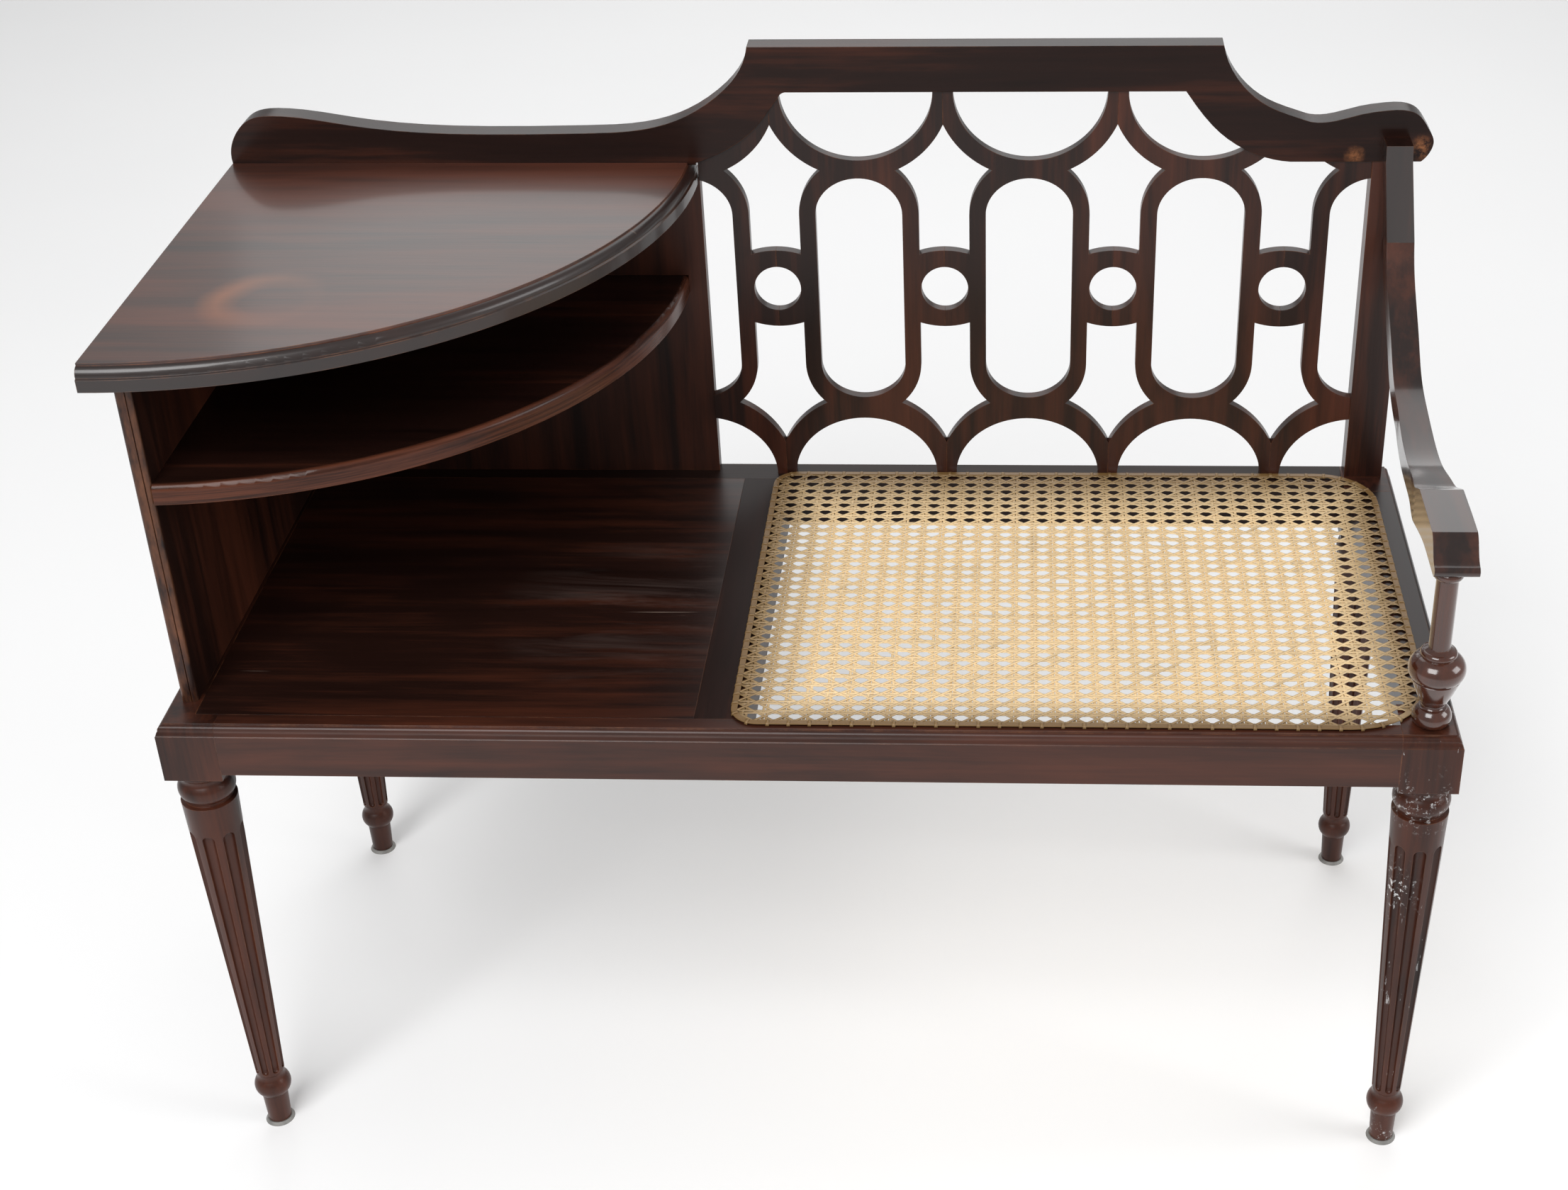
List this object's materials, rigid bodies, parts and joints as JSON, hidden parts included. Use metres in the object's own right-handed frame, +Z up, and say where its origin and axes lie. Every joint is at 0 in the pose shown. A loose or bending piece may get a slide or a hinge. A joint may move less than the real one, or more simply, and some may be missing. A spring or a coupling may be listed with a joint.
{
  "type": "telephone bench",
  "caption": "Mahogany telephone bench with a caned seat, pierced back and a two-tier quarter-round table, on turned fluted legs.",
  "frame": {"origin": "on the floor, under the middle of the bench's box", "axes": "+X to the right of someone facing the bench, towards the arm; +Y to the back; +Z up"},
  "size_m": [1.0094, 0.426, 0.8295],
  "materials": {
    "mahogany": "satin varnish, worn at the edges",
    "cane": "natural, aged",
    "glide_metal": "dull",
    "screw_steel": "dull"
  },
  "bodies": {
    "root": {"leg_front_left": "mahogany", "leg_front_right": "mahogany", "leg_rear_left": "mahogany", "leg_rear_right": "mahogany", "front_rail": "mahogany", "back_rail": "mahogany", "left_rail": "mahogany", "right_rail": "mahogany", "cross_rail": "mahogany", "platform_board": "mahogany", "cleat_front": "mahogany", "cleat_back": "mahogany", "side_panel": "mahogany", "back_panel": "mahogany", "shelf": "mahogany", "top_board": "mahogany", "crest_rail": "mahogany", "crest_dowels": "mahogany", "fret_left_half": "mahogany", "fret_bay_1": "mahogany", "fret_bay_2": "mahogany", "fret_bay_3": "mahogany", "fret_right_half": "mahogany", "right_stile": "mahogany", "arm_upper": "mahogany", "arm_sweep": "mahogany", "arm_support": "mahogany", "foot_glides": "glide_metal", "cleat_screws": "screw_steel", "arm_screws": "screw_steel", "cane_panel": "cane", "cane_binder": "cane"}
  },
  "joints": []
}
